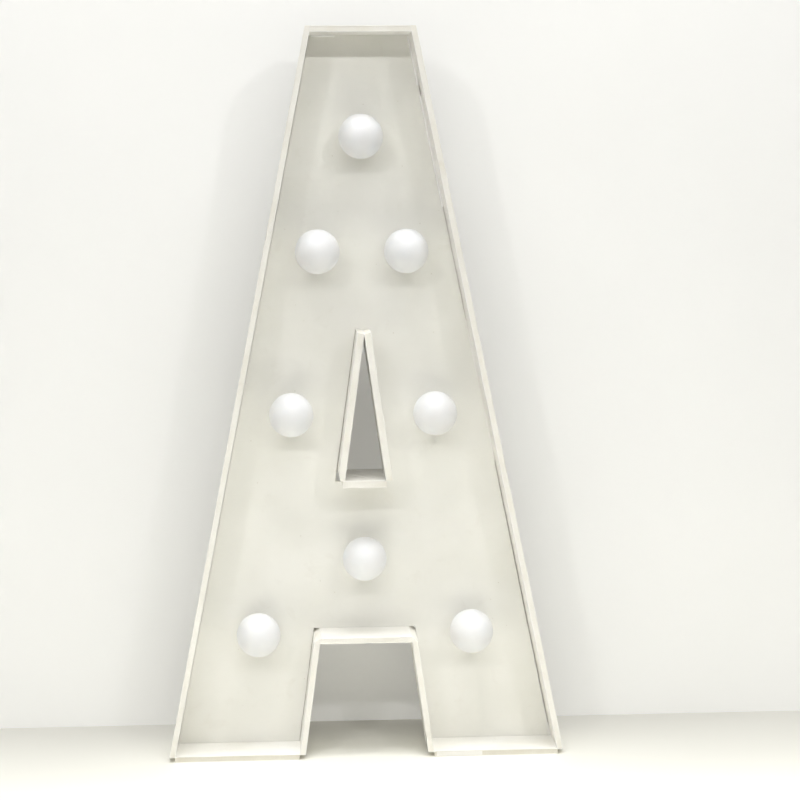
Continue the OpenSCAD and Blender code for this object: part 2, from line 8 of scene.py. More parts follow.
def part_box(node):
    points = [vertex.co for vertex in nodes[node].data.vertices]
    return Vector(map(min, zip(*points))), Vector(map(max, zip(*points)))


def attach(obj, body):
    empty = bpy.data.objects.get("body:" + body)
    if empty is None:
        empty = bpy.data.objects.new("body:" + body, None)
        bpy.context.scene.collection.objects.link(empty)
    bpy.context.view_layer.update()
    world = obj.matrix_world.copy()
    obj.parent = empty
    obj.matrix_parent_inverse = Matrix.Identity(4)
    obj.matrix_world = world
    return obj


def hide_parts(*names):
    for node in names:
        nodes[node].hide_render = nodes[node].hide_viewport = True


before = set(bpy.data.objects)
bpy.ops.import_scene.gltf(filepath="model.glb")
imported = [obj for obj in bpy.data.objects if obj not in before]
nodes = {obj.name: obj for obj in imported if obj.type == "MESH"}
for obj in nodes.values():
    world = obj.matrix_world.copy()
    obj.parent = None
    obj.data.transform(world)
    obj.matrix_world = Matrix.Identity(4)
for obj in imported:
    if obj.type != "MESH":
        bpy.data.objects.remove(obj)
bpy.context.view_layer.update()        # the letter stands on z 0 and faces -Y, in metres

scene = bpy.context.scene
mm = 0.001
hair = 0.00001           # corners closer than this are one

# Camera, as the photograph saw the letter: from the left, above the middle, looking a little down
camera = {"place": (-0.1130, -3.2478, 0.9792), "yaw": 0.0542, "pitch": -0.1158, "roll": 0.0073,
          "focalPx": 1939.3, "framePx": 800, "sensorMm": 36.0}


def addCamera(spec):
    forward = Vector((math.sin(spec["yaw"]) * math.cos(spec["pitch"]),
                      math.cos(spec["yaw"]) * math.cos(spec["pitch"]), math.sin(spec["pitch"])))
    level = Vector((math.cos(spec["yaw"]), -math.sin(spec["yaw"]), 0.0))
    down = forward.cross(level)
    right = level * math.cos(spec["roll"]) + down * math.sin(spec["roll"])
    up = level * math.sin(spec["roll"]) - down * math.cos(spec["roll"])
    lens = bpy.data.cameras.new("photoCamera")
    lens.sensor_width = spec["sensorMm"]
    lens.lens = spec["focalPx"] / spec["framePx"] * spec["sensorMm"]
    eye = bpy.data.objects.new("photoCamera", lens)
    scene.collection.objects.link(eye)
    turn = Matrix((right, up, -forward)).transposed().to_4x4()
    eye.matrix_world = Matrix.Translation(spec["place"]) @ turn
    scene.camera = eye


addCamera(camera)
scene.view_settings.view_transform = "Standard"
print("camera: in place")


def linear(hexColour):  # sRGB hex to linear
    parts = [int(hexColour[i:i + 2], 16) / 255 for i in (1, 3, 5)]
    return [c / 12.92 if c <= 0.04045 else ((c + 0.055) / 1.055) ** 2.4 for c in parts] + [1.0]


def perMm(size):  # texture scale for features this many millimetres across
    return 1000 / size


def addNode(tree, kind, settings=None, links=None):
    node = tree.nodes.new("ShaderNode" + kind)
    for key, value in (settings or {}).items():
        if isinstance(key, str) and hasattr(node, key):
            setattr(node, key, value)
        else:
            node.inputs[key].default_value = value
    for key, source in (links or {}).items():
        tree.links.new(source, node.inputs[key])
    return node


def newFinish(name):
    finish = bpy.data.materials.new(name)
    finish.use_nodes = True
    finish.node_tree.nodes.clear()
    return finish, finish.node_tree, addNode(finish.node_tree, "TexCoord").outputs["Object"]


# Foamed PVC sheet with a calendered skin: satin white, blotched cream where it has yellowed,
# thumbed grey in places, and paler on its corners, partly rubbed pale and partly a painted highlight on the
# rounded corners
boardSkin = {"white": "#f8f7f3", "cream": "#f3f1ea", "grime": "#c6bfae", "paleCornerWearAndHighlight": "#fbfaf6", "creamMm": 90,
             "grimeMm": 26, "grimeMost": 0.16, "speckGapMm": 36.0, "rippleMm": 2.4, "rough": (0.34, 0.52)}
panelSkin = {"white": "#f4f3ed", "cream": "#efeee7", "grime": "#c9c3b3", "paleCornerWearAndHighlight": "#f6f5ef", "creamMm": 120,
             "grimeMm": 34, "grimeMost": 0.14, "speckGapMm": 28.8, "rippleMm": 2.4, "rough": (0.40, 0.56)}


def calenderedPvc(name, look):
    finish, tree, spot = newFinish(name)
    cloud = addNode(tree, "TexNoise", {"Scale": perMm(look["creamMm"]), "Detail": 3.0}, {"Vector": spot})
    creamShare = addNode(tree, "MapRange", {"From Min": 0.36, "From Max": 0.66},
                         {"Value": cloud.outputs[0]})
    base = addNode(tree, "Mix", {"data_type": "RGBA", 6: linear(look["white"]), 7: linear(look["cream"])},
                   {0: creamShare.outputs[0]})
    thumb = addNode(tree, "TexNoise", {"Scale": perMm(look["grimeMm"]), "Detail": 5.0, "Roughness": 0.62,
                                       "Distortion": 0.5}, {"Vector": spot})
    thumbShare = addNode(tree, "MapRange",
                         {"From Min": 0.60, "From Max": 0.80, "To Max": look["grimeMost"]},
                         {"Value": thumb.outputs[0]})
    thumbed = addNode(tree, "Mix", {"data_type": "RGBA", 7: linear(look["grime"])},
                      {0: thumbShare.outputs[0], 6: base.outputs[2]})
    # one speck of about 1 mm in radius to each cell
    speck = addNode(tree, "TexVoronoi", {"Scale": perMm(look["speckGapMm"]), "Randomness": 1.0},
                    {"Vector": spot})
    speckShare = addNode(tree, "MapRange", {"From Min": 0.05, "From Max": 0.02, "To Max": 0.45},
                         {"Value": speck.outputs["Distance"]})
    specked = addNode(tree, "Mix", {"data_type": "RGBA", 7: linear(look["grime"])},
                      {0: speckShare.outputs[0], 6: thumbed.outputs[2]})
    # corners painted paler from pointiness: partly rubbed wear, partly a painted highlight on the rounded
    # corners
    corner = addNode(tree, "NewGeometry").outputs["Pointiness"]
    wearAndHighlightShare = addNode(tree, "MapRange", {"From Min": 0.53, "From Max": 0.60, "To Max": 0.7},
                          {"Value": corner})
    colour = addNode(tree, "Mix", {"data_type": "RGBA", 7: linear(look["paleCornerWearAndHighlight"])},
                     {0: wearAndHighlightShare.outputs[0], 6: specked.outputs[2]})
    rough = addNode(tree, "MapRange", {"From Min": 0.35, "From Max": 0.70, "To Min": look["rough"][0],
                                       "To Max": look["rough"][1]}, {"Value": thumb.outputs[0]})
    # the skin's own ripple is under 1 mm and is drawn coarser to show
    ripple = addNode(tree, "TexNoise", {"Scale": perMm(look["rippleMm"]), "Detail": 2.0}, {"Vector": spot})
    bump = addNode(tree, "Bump", {"Strength": 0.10, "Distance": 0.0003}, {"Height": ripple.outputs[0]})
    shader = addNode(tree, "BsdfPrincipled", {"IOR": 1.53},
                     {"Base Color": colour.outputs[2], "Roughness": rough.outputs[0],
                      "Normal": bump.outputs[0]})
    addNode(tree, "OutputMaterial", {}, {"Surface": shader.outputs[0]})
    return finish


# The same sheet's foamed core, sawn: cream and dull, pitted by open cells that are painted darker as shade
# in the pits, with faint saw ripple
boardCore = {"cream": "#f8f6ef", "tan": "#f4f1e7", "pitShadeTone": "#ded7c6", "tanMm": 40, "cellMm": 1.3,
             "sawMm": 3.0}
# On the foot boards the same core is scuffed and floor-grey
footCore = {"cream": "#e9e6da", "tan": "#e2ddcf", "pitShadeTone": "#cdc5b2", "tanMm": 32, "cellMm": 1.6,
            "sawMm": 3.0}


def sawnPvcFoam(name, look):
    finish, tree, spot = newFinish(name)
    cloud = addNode(tree, "TexNoise", {"Scale": perMm(look["tanMm"]), "Detail": 4.0}, {"Vector": spot})
    tanShare = addNode(tree, "MapRange", {"From Min": 0.38, "From Max": 0.68}, {"Value": cloud.outputs[0]})
    base = addNode(tree, "Mix", {"data_type": "RGBA", 6: linear(look["cream"]), 7: linear(look["tan"])},
                   {0: tanShare.outputs[0]})
    # cells are about 0.3 mm and are drawn coarser to show
    cell = addNode(tree, "TexVoronoi", {"Scale": perMm(look["cellMm"])}, {"Vector": spot})
    # the open cells painted darker: painted shade in the pits, which the bump also sinks
    pitShadeShare = addNode(tree, "MapRange", {"From Min": 0.30, "From Max": 0.05, "To Max": 0.40},
                       {"Value": cell.outputs["Distance"]})
    colour = addNode(tree, "Mix", {"data_type": "RGBA", 7: linear(look["pitShadeTone"])},
                     {0: pitShadeShare.outputs[0], 6: base.outputs[2]})
    saw = addNode(tree, "TexNoise", {"Scale": perMm(look["sawMm"]), "Detail": 1.0}, {"Vector": spot})
    height = addNode(tree, "Math", {"operation": "ADD"}, {0: cell.outputs["Distance"], 1: saw.outputs[0]})
    bump = addNode(tree, "Bump", {"Strength": 0.35, "Distance": 0.0004}, {"Height": height.outputs[0]})
    shader = addNode(tree, "BsdfPrincipled", {"IOR": 1.53, "Roughness": 0.82},
                     {"Base Color": colour.outputs[2], "Normal": bump.outputs[0]})
    addNode(tree, "OutputMaterial", {}, {"Surface": shader.outputs[0]})
    return finish


# Opal polycarbonate, blow-moulded: milk white with depth, satin gloss, faintly cloudy where the wall varies
opalLook = {"milk": "#e8e9eb", "thin": "#e5e6e8", "cloudMm": 22, "frostMm": 1.6, "depthMm": 45,
            "rough": (0.40, 0.52)}


def opalPolycarbonate(name, look):
    finish, tree, spot = newFinish(name)
    cloud = addNode(tree, "TexNoise", {"Scale": perMm(look["cloudMm"]), "Detail": 2.0}, {"Vector": spot})
    thinShare = addNode(tree, "MapRange", {"From Min": 0.40, "From Max": 0.72}, {"Value": cloud.outputs[0]})
    colour = addNode(tree, "Mix", {"data_type": "RGBA", 6: linear(look["milk"]), 7: linear(look["thin"])},
                     {0: thinShare.outputs[0]})
    rough = addNode(tree, "MapRange", {"From Min": 0.3, "From Max": 0.7, "To Min": look["rough"][0],
                                       "To Max": look["rough"][1]}, {"Value": cloud.outputs[0]})
    # the frosting is about 0.1 mm and is drawn coarser to show
    frost = addNode(tree, "TexNoise", {"Scale": perMm(look["frostMm"]), "Detail": 2.0}, {"Vector": spot})
    bump = addNode(tree, "Bump", {"Strength": 0.03, "Distance": 0.0002}, {"Height": frost.outputs[0]})
    shader = addNode(tree, "BsdfPrincipled",
                     {"IOR": 1.58, "Subsurface Weight": 1.0, "Subsurface Scale": look["depthMm"] * mm,
                      "Subsurface Radius": (1.0, 0.95, 0.9)},
                     {"Base Color": colour.outputs[2], "Roughness": rough.outputs[0],
                      "Normal": bump.outputs[0]})
    addNode(tree, "OutputMaterial", {}, {"Surface": shader.outputs[0]})
    return finish


# Moulded plastics, and sealant run from a gun: an even colour that flows a little in tone, a fine grain
# and dull rubbed spots
neckPbt = {"tone": "#f3f2ec", "flow": "#e8e6de", "rubbed": "#d6d2c6", "flowMm": 30, "grainMm": 1.4,
           "rough": (0.34, 0.48), "ior": 1.55, "grain": 0.08}
holderUrea = {"tone": "#f0ede4", "flow": "#e3dfd2", "rubbed": "#c6bfae", "flowMm": 24, "grainMm": 2.0,
              "rough": (0.24, 0.40), "ior": 1.54, "grain": 0.04}
boxAbs = {"tone": "#e9e7df", "flow": "#deded4", "rubbed": "#c2beb0", "flowMm": 34, "grainMm": 1.6,
          "rough": (0.42, 0.58), "ior": 1.54, "grain": 0.16}
clipPolypropylene = {"tone": "#f2f1ec", "flow": "#e2e2db", "rubbed": "#cfccc2", "flowMm": 10,
                     "grainMm": 1.2, "rough": (0.36, 0.52), "ior": 1.49, "grain": 0.06}
blackNylon = {"tone": "#26262a", "flow": "#1b1b1e", "rubbed": "#4a4a4c", "flowMm": 16, "grainMm": 1.3,
              "rough": (0.38, 0.56), "ior": 1.53, "grain": 0.18}
blackPolycarbonate = {"tone": "#1b1b1d", "flow": "#141416", "rubbed": "#3b3b3d", "flowMm": 12,
                      "grainMm": 1.8, "rough": (0.16, 0.30), "ior": 1.58, "grain": 0.03}
sheathPvc = {"tone": "#eeece5", "flow": "#e2dfd5", "rubbed": "#bdb6a6", "flowMm": 45, "grainMm": 2.2,
             "rough": (0.40, 0.55), "ior": 1.53, "grain": 0.05}
sealant = {"tone": "#fefefc", "flow": "#fbfaf7", "rubbed": "#f3f1ea", "flowMm": 14, "grainMm": 3.0,
           "rough": (0.14, 0.26), "ior": 1.50, "grain": 0.06}


def mouldedPlastic(name, look):
    finish, tree, spot = newFinish(name)
    flow = addNode(tree, "TexNoise", {"Scale": perMm(look["flowMm"]), "Detail": 3.0, "Distortion": 0.8},
                   {"Vector": spot})
    flowShare = addNode(tree, "MapRange", {"From Min": 0.35, "From Max": 0.68}, {"Value": flow.outputs[0]})
    base = addNode(tree, "Mix", {"data_type": "RGBA", 6: linear(look["tone"]), 7: linear(look["flow"])},
                   {0: flowShare.outputs[0]})
    rubMm = look["flowMm"] * 0.4
    rub = addNode(tree, "TexNoise", {"Scale": perMm(rubMm), "Detail": 6.0, "Roughness": 0.7},
                  {"Vector": spot})
    rubShare = addNode(tree, "MapRange", {"From Min": 0.60, "From Max": 0.76, "To Max": 0.4},
                       {"Value": rub.outputs[0]})
    colour = addNode(tree, "Mix", {"data_type": "RGBA", 7: linear(look["rubbed"])},
                     {0: rubShare.outputs[0], 6: base.outputs[2]})
    rough = addNode(tree, "MapRange", {"From Min": 0.3, "From Max": 0.7, "To Min": look["rough"][0],
                                       "To Max": look["rough"][1]}, {"Value": rub.outputs[0]})
    # the grain is about 0.2 mm and is drawn coarser to show
    grain = addNode(tree, "TexNoise", {"Scale": perMm(look["grainMm"]), "Detail": 2.0}, {"Vector": spot})
    bump = addNode(tree, "Bump", {"Strength": look["grain"], "Distance": 0.0003},
                   {"Height": grain.outputs[0]})
    shader = addNode(tree, "BsdfPrincipled", {"IOR": look["ior"]},
                     {"Base Color": colour.outputs[2], "Roughness": rough.outputs[0],
                      "Normal": bump.outputs[0]})
    addNode(tree, "OutputMaterial", {}, {"Surface": shader.outputs[0]})
    return finish


# Metals: rolled or plated, so bright with fine drawn lines, and stained where fingers or flux have been
capNickel = {"bright": "#cfccc4", "stain": "#a19a8c", "stainMm": 9, "lineMm": 0.9, "rough": (0.22, 0.42)}
contactBrass = {"bright": "#d0ad62", "stain": "#8f7440", "stainMm": 6, "lineMm": 0.8, "rough": (0.24, 0.46)}
screwZinc = {"bright": "#c3c6c9", "stain": "#8f9088", "stainMm": 3, "lineMm": 0.7, "rough": (0.28, 0.48)}


def platedMetal(name, look):
    finish, tree, spot = newFinish(name)
    cloud = addNode(tree, "TexNoise", {"Scale": perMm(look["stainMm"]), "Detail": 4.0}, {"Vector": spot})
    stainShare = addNode(tree, "MapRange", {"From Min": 0.45, "From Max": 0.75},
                         {"Value": cloud.outputs[0]})
    colour = addNode(tree, "Mix",
                     {"data_type": "RGBA", 6: linear(look["bright"]), 7: linear(look["stain"])},
                     {0: stainShare.outputs[0]})
    rough = addNode(tree, "MapRange", {"From Min": 0.35, "From Max": 0.75, "To Min": look["rough"][0],
                                       "To Max": look["rough"][1]}, {"Value": cloud.outputs[0]})
    # drawn lines are hairs of about 0.05 mm and are drawn coarser to show
    squeeze = addNode(tree, "Mapping", {"Scale": (0.08, 0.08, 1.0)}, {"Vector": spot})
    lines = addNode(tree, "TexNoise", {"Scale": perMm(look["lineMm"]), "Detail": 2.0},
                    {"Vector": squeeze.outputs[0]})
    bump = addNode(tree, "Bump", {"Strength": 0.10, "Distance": 0.0002}, {"Height": lines.outputs[0]})
    shader = addNode(tree, "BsdfPrincipled", {"Metallic": 1.0},
                     {"Base Color": colour.outputs[2], "Roughness": rough.outputs[0],
                      "Normal": bump.outputs[0]})
    addNode(tree, "OutputMaterial", {}, {"Surface": shader.outputs[0]})
    return finish


# Black fused glass, poured: glossy, with a slow wave and a few grey seeds
capGlass = {"black": "#141213", "seed": "#4b4744", "waveMm": 6, "seedMm": 2.2, "rough": 0.14}


def pouredGlass(name, look):
    finish, tree, spot = newFinish(name)
    seed = addNode(tree, "TexVoronoi", {"Scale": perMm(look["seedMm"])}, {"Vector": spot})
    seedShare = addNode(tree, "MapRange", {"From Min": 0.16, "From Max": 0.08},
                        {"Value": seed.outputs["Distance"]})
    colour = addNode(tree, "Mix", {"data_type": "RGBA", 6: linear(look["black"]), 7: linear(look["seed"])},
                     {0: seedShare.outputs[0]})
    wave = addNode(tree, "TexNoise", {"Scale": perMm(look["waveMm"])}, {"Vector": spot})
    bump = addNode(tree, "Bump", {"Strength": 0.15, "Distance": 0.0004}, {"Height": wave.outputs[0]})
    shader = addNode(tree, "BsdfPrincipled", {"IOR": 1.56, "Roughness": look["rough"]},
                     {"Base Color": colour.outputs[2], "Normal": bump.outputs[0]})
    addNode(tree, "OutputMaterial", {}, {"Surface": shader.outputs[0]})
    return finish


skinFinish = calenderedPvc("foamedPvcSkin", boardSkin)
panelFinish = calenderedPvc("foamedPvcPanel", panelSkin)
coreFinish = sawnPvcFoam("foamedPvcCore", boardCore)
scuffedFinish = sawnPvcFoam("scuffedPvcCore", footCore)
opalFinish = opalPolycarbonate("opalPolycarbonate", opalLook)
neckFinish = mouldedPlastic("mouldedPbt", neckPbt)
holderFinish = mouldedPlastic("mouldedUrea", holderUrea)
boxFinish = mouldedPlastic("mouldedAbs", boxAbs)
clipFinish = mouldedPlastic("mouldedPolypropylene", clipPolypropylene)
nylonFinish = mouldedPlastic("blackNylon", blackNylon)
rockerFinish = mouldedPlastic("blackPolycarbonate", blackPolycarbonate)
sheathFinish = mouldedPlastic("extrudedPvcSheath", sheathPvc)
sealantFinish = mouldedPlastic("gunnedSealant", sealant)
capFinish = platedMetal("nickelPlatedSteel", capNickel)
brassFinish = platedMetal("rolledBrass", contactBrass)
zincFinish = platedMetal("zincPlatedSteel", screwZinc)
glassFinish = pouredGlass("pouredBlackGlass", capGlass)
print("finishes:", len(bpy.data.materials))


def placePiece(name, data, body, replaced=(), place=None):
    piece = bpy.data.objects.new(name, data)
    scene.collection.objects.link(piece)
    if place is not None:
        piece.matrix_world = place
    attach(piece, body)
    if replaced:
        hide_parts(*replaced)
    return piece


def toMesh(name, bm, finishes, sharpDeg=35.0):
    bmesh.ops.recalc_face_normals(bm, faces=bm.faces)
    mesh = bpy.data.meshes.new(name)
    bm.to_mesh(mesh)
    bm.free()
    for finish in finishes:
        mesh.materials.append(finish)
    mesh.polygons.foreach_set("use_smooth", [True] * len(mesh.polygons))
    mesh.set_sharp_from_angle(angle=math.radians(sharpDeg))
    return mesh


def lathe(bm, profile, turns, slotIndex=0, wobble=None):  # rings of (radius, height) in mm round local Z
    rings = []
    for radius, height in profile:
        if radius < 1e-6:
            rings.append([bm.verts.new((0.0, 0.0, height * mm))])
            continue
        ring = []
        for k in range(turns):
            angle = 2 * math.pi * k / turns
            r = radius + (wobble(angle, radius, height) if wobble else 0.0)
            ring.append(bm.verts.new((r * mm * math.cos(angle), r * mm * math.sin(angle), height * mm)))
        rings.append(ring)
    for low, high in zip(rings, rings[1:]):
        for k in range(turns):
            corners = [low[k % len(low)], low[(k + 1) % len(low)],
                       high[(k + 1) % len(high)], high[k % len(high)]]
            corners = list(dict.fromkeys(corners))  # a ring at the axis is one point
            if len(corners) > 2:
                bm.faces.new(corners).material_index = slotIndex


def skinRings(bm, rings, coreBands=()):  # joins each ring of points to the next
    n = len(rings[0])
    for near, far in zip(rings, rings[1:]):
        for j in range(n):
            face = bm.faces.new((near[j], near[(j + 1) % n], far[(j + 1) % n], far[j]))
            face.material_index = 1 if j in coreBands else 0


def frontCorners(node):  # the node's corners in its front plane
    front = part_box(node)[0].y + hair
    seen = {(round(v.co.x, 5), round(v.co.z, 5)) for v in nodes[node].data.vertices if v.co.y < front}
    return [Vector((x, 0.0, z)) for x, z in sorted(seen)]


# Boards, in mm: each is a sawn strip with its skin on the wide sides and its core showing on the cut edges
boardCut = {"skin": 1.1, "recess": 0.35, "round": 0.6, "shoulder": 3.0, "fray": 0.25, "frayMm": 45.0,
            "chipMm": 2.381, "step": 14.0, "fineStep": 1.5}
coreBands = {4, 5, 6, 17, 18, 19}  # the bands of edgeOutline that show the core, in front and behind
boards = {"left_wall_lower": "upright", "left_wall_upper": "upright", "right_wall_lower": "upright",
          "right_wall_upper": "upright", "left_leg_wall": "upright", "right_leg_wall": "upright",
          "counter_left_wall": "counter", "counter_right_wall": "counter", "top_board": "level",
          "left_foot_board": "level", "right_foot_board": "level", "crossbar_board": "level",
          "counter_sill": "level"}
# Knocks on front edges: board, place (x, z) in mm, length, reach across the edge and depth
knocks = [("right_wall_upper", (124.6, 992), 7, 2.0, 2.0),
          ("crossbar_board", (4.5, 198), 16, 2.6, 2.2), ("left_wall_upper", (-170.5, 879), 9, 1.6, 1.6),
          ("right_leg_wall", (98.6, 35), 22, 2.4, 2.6)]
# Dents in inner sides: board, place (x, z), length, place and span from front to back, and depth
dents = [("right_wall_upper", (100.5, 1118.5), 19, 84, 36, 4.2)]


def boardPairs(node, lie):  # matching points on the board's two wide sides, from end to end
    corners = frontCorners(node)
    if lie == "level":
        corners.sort(key=lambda c: c.x)
        ends = [sorted(corners[:2], key=lambda c: c.z), sorted(corners[2:], key=lambda c: c.z)]
        return [tuple(end) for end in ends]
    corners.sort(key=lambda c: c.z)
    inner, outer = sorted(corners[:2], key=lambda c: abs(c.x))
    if lie == "upright":
        return [(inner, outer), tuple(sorted(corners[2:], key=lambda c: abs(c.x)))]
    apex, notch, tall = corners[-3:]
    pairs = [(inner, outer)]
    if len(corners) > 5:  # the sawn-off corner
        outer = corners[2]
        pairs.append((inner.lerp(apex, (outer.z - inner.z) / (apex.z - inner.z)), outer))
    level = outer.lerp(tall, (apex.z - outer.z) / (tall.z - outer.z))
    return pairs + [(apex, level), (notch, tall)]


def edgeOutline(width, depth, hollows):  # (across, back) in mm round the board, from the inner front corner
    skin, recess, curve, shoulder = (boardCut[k] for k in ("skin", "recess", "round", "shoulder"))
    bend = 0.3 * curve  # the middle of the rounding
    front = [(0, shoulder), (0, curve), (bend, bend), (curve, 0), (skin, 0), (skin + recess, recess),
             (width - skin - recess, recess), (width - skin, 0), (width - curve, 0),
             (width - bend, bend), (width, curve), (width, shoulder)]
    rear = [(across, depth - back) for across, back in reversed(front)]
    shares = (0.5, 0.3, 0.1, -0.1, -0.3, -0.5)  # points across a dent, from back to front
    inner = [(0, at + span * share) for _, _, at, span, _ in hollows for share in shares]
    return front + [(width, depth / 2)] + rear + inner + [(0, depth / 2)]


def rowsAlong(pairs, flaws):  # pairs of points from end to end, closer together at knocks and dents
    rows = []
    for (a0, b0), (a1, b1) in zip(pairs, pairs[1:]):
        span = (b1 - b0).length / mm
        count = math.ceil(span / boardCut["step"])
        shares = {i / count for i in range(count + 1)}
        for spot, length, *_ in flaws:
            middle = (spot - a0).dot(b1 - b0) / (b1 - b0).length_squared
            fine = math.ceil(length / boardCut["fineStep"])
            shares |= {middle + (i / fine - 0.5) * length / span for i in range(fine + 1)}
        shares = sorted(s for s in shares if (0 < s <= 1 if rows else 0 <= s <= 1))
        rows += [(a0.lerp(a1, s), b0.lerp(b1, s)) for s in shares]
    return rows


def fray(a, across, back, depth):  # cut edges wander a little
    if min(back, depth - back) >= boardCut["shoulder"]:
        return back
    inward = 1 if back < depth / 2 else -1
    spot = (a + Vector((across * mm, back * mm, 0.0))) / (boardCut["frayMm"] * mm)
    return back + inward * boardCut["fray"] * (0.5 + 0.5 * noise.noise(spot))


def knockIn(mark, a, b, across, back, way):  # a bite out of the nearer front corner
    spot, length, reach, deep = mark
    inner = (spot - a).length < (spot - b).length
    fromSide = across if inner else (b - a).length / mm - across
    here = abs((spot - (a if inner else b)).dot(way)) / mm
    bite = max(0.0, 1 - (2 * here / length) ** 2)
    bite *= 0.75 + 0.5 * noise.noise(a * perMm(boardCut["chipMm"]))
    if bite <= 0 or back >= boardCut["shoulder"] + 0.01 or fromSide >= reach:
        return across, back
    share = 1 - fromSide / reach
    aside = 0.35 * reach * bite * share
    return across + (aside if inner else -aside), back + deep * bite * share ** 0.7


def dentIn(hollow, a, across, back, way):  # a shallow bowl in the inner side
    spot, length, at, span, deep = hollow
    if across >= 0.01:
        return across
    along = max(0.0, 1 - (2 * (spot - a).dot(way) / mm / length) ** 2)
    return across + deep * along * max(0.0, 1 - (2 * (back - at) / span) ** 2)


def cutBoard(node, lie):
    low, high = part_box(node)
    depth = (high.y - low.y) / mm
    pairs = boardPairs(node, lie)
    way = (pairs[-1][0] - pairs[0][0]).normalized()
    marks = [(Vector((x, 0.0, z)) * mm, *rest) for name, (x, z), *rest in knocks if name == node]
    hollows = [(Vector((x, 0.0, z)) * mm, *rest) for name, (x, z), *rest in dents if name == node]
    bm = bmesh.new()
    rings = []
    for a, b in rowsAlong(pairs, marks + hollows):
        width = (b - a).length / mm
        ring = []
        for across, back in edgeOutline(width, depth, hollows):
            back = fray(a, across, back, depth)
            for mark in marks:
                across, back = knockIn(mark, a, b, across, back, way)
            for hollow in hollows:
                across = dentIn(hollow, a, across, back, way)
            ring.append(bm.verts.new(a.lerp(b, across / width) + Vector((0.0, low.y + back * mm, 0.0))))
        rings.append(ring)
    skinRings(bm, rings, coreBands)
    for ring in (rings[0], rings[-1]):
        innerSkin = ring[0:5] + ring[20:]
        core = ring[4:8] + ring[17:21]
        outerSkin = ring[7:18]
        for strip, index in ((innerSkin, 0), (core, 1), (outerSkin, 0)):
            bm.faces.new(strip).material_index = index
    sawn = scuffedFinish if "foot" in node else coreFinish
    mesh = toMesh(node + "_cut", bm, [skinFinish, sawn], 32.0)
    return placePiece(node + "_cut", mesh, "letter", [node])


for node, lie in boards.items():
    cutBoard(node, lie)
print("boards:", len(boards))


# CAD solids that already have the right shape: their finish, and the radius in mm that softens their edges
solids = {"face_panel": (panelFinish, 0.4), "panel_battens": (coreFinish, 0.7),
          "wall_splices": (skinFinish, 0.6), "lampholder_bodies": (holderFinish, 0.7),
          "socket_shells": (capFinish, 0.12), "socket_contacts": (brassFinish, 0.15),
          "cable_clips": (clipFinish, 0.5), "junction_box": (boxFinish, 0.9),
          "junction_box_lid": (boxFinish, 0.8), "terminal_strip": (nylonFinish, 0.6),
          "cable_gland": (nylonFinish, 0.5), "switch_body": (nylonFinish, 0.6),
          "switch_rocker": (rockerFinish, 0.5)}
edgeWork = {"weldMm": 0.02, "segments": 2, "sharpDeg": 40}


def finishSolid(node, finish, radius):
    solid = nodes[node]
    solid.data.materials.clear()
    solid.data.materials.append(finish)
    weld = solid.modifiers.new("weld", "WELD")
    weld.merge_threshold = edgeWork["weldMm"] * mm
    bevel = solid.modifiers.new("edges", "BEVEL")
    bevel.width = radius * mm
    bevel.segments = edgeWork["segments"]
    bevel.limit_method = "ANGLE"
    bevel.angle_limit = math.radians(edgeWork["sharpDeg"])
    bevel.use_clamp_overlap = True
    bevel.harden_normals = True


for node, (finish, radius) in solids.items():
    finishSolid(node, finish, radius)
print("solids:", len(solids), "rounded and finished")


# Bulb: opal ball, tapered neck, rolled screw cap, and glass insulator with a soldered contact, in mm from
# the panel's back
bulb = {"globeR": 37.0, "globeAt": 49.5, "wall": 1.5, "neckR": 20.0, "neckAt": 18.37, "neckEndR": 14.5,
        "capAt": -2.0, "capR": 13.1, "capEnd": -26.0, "pitch": 3.63, "threadDeep": 0.95, "collar": 3.2,
        "tipR": 10.0, "tipAt": -26.3, "tipEnd": -29.3, "eyeletR": 5.0, "eyeletEnd": -30.8, "panelBack": 22.0,
        "turns": 56, "globeRings": 36, "neckRings": 24, "threadRings": 46, "tipTurns": 40,
        "vents": (5, 6, 9, 10, 13, 14), "ventDeep": 0.45, "turnDeg": 73.0}


def globeMesh(b):
    bm = bmesh.new()
    lip = math.acos((b["neckAt"] - b["globeAt"]) / b["globeR"])
    angles = [lip * k / b["globeRings"] for k in range(b["globeRings"] + 1)]
    outer = [(b["globeR"] * math.sin(t), b["globeAt"] + b["globeR"] * math.cos(t)) for t in angles]
    seat = [(b["neckR"] - b["wall"], b["neckAt"]), (b["neckR"] - 2 * b["wall"], b["neckAt"] + 0.4),
            (0.0, b["neckAt"] + 0.4)]
    lathe(bm, outer + seat, b["turns"])
    return toMesh("bulb_globe", bm, [opalFinish], 50.0)


def neckMesh(b):
    bm = bmesh.new()
    rise = b["neckAt"] - b["capAt"]
    profile = [(0.0, b["neckAt"] - 0.05), (b["neckR"] - 1.2, b["neckAt"] - 0.05),
               (b["neckR"] - 0.5, b["neckAt"] - 0.1)]
    for k in range(b["neckRings"] + 1):
        t = k / b["neckRings"]
        radius = b["neckR"] + (b["neckEndR"] - b["neckR"]) * t - 0.25 * math.sin(math.pi * t)
        if k in b["vents"]:
            radius -= b["ventDeep"]
        profile.append((radius, b["neckAt"] - 0.5 - (rise - 0.9) * t))
    profile += [(b["neckEndR"] - 0.4, b["capAt"]), (b["capR"] - 0.8, b["capAt"]),
                (b["capR"] - 0.8, b["capEnd"] + 1.0), (0.0, b["capEnd"] + 1.0)]
    lathe(bm, profile, b["turns"])
    return toMesh("bulb_neck", bm, [neckFinish], 30.0)


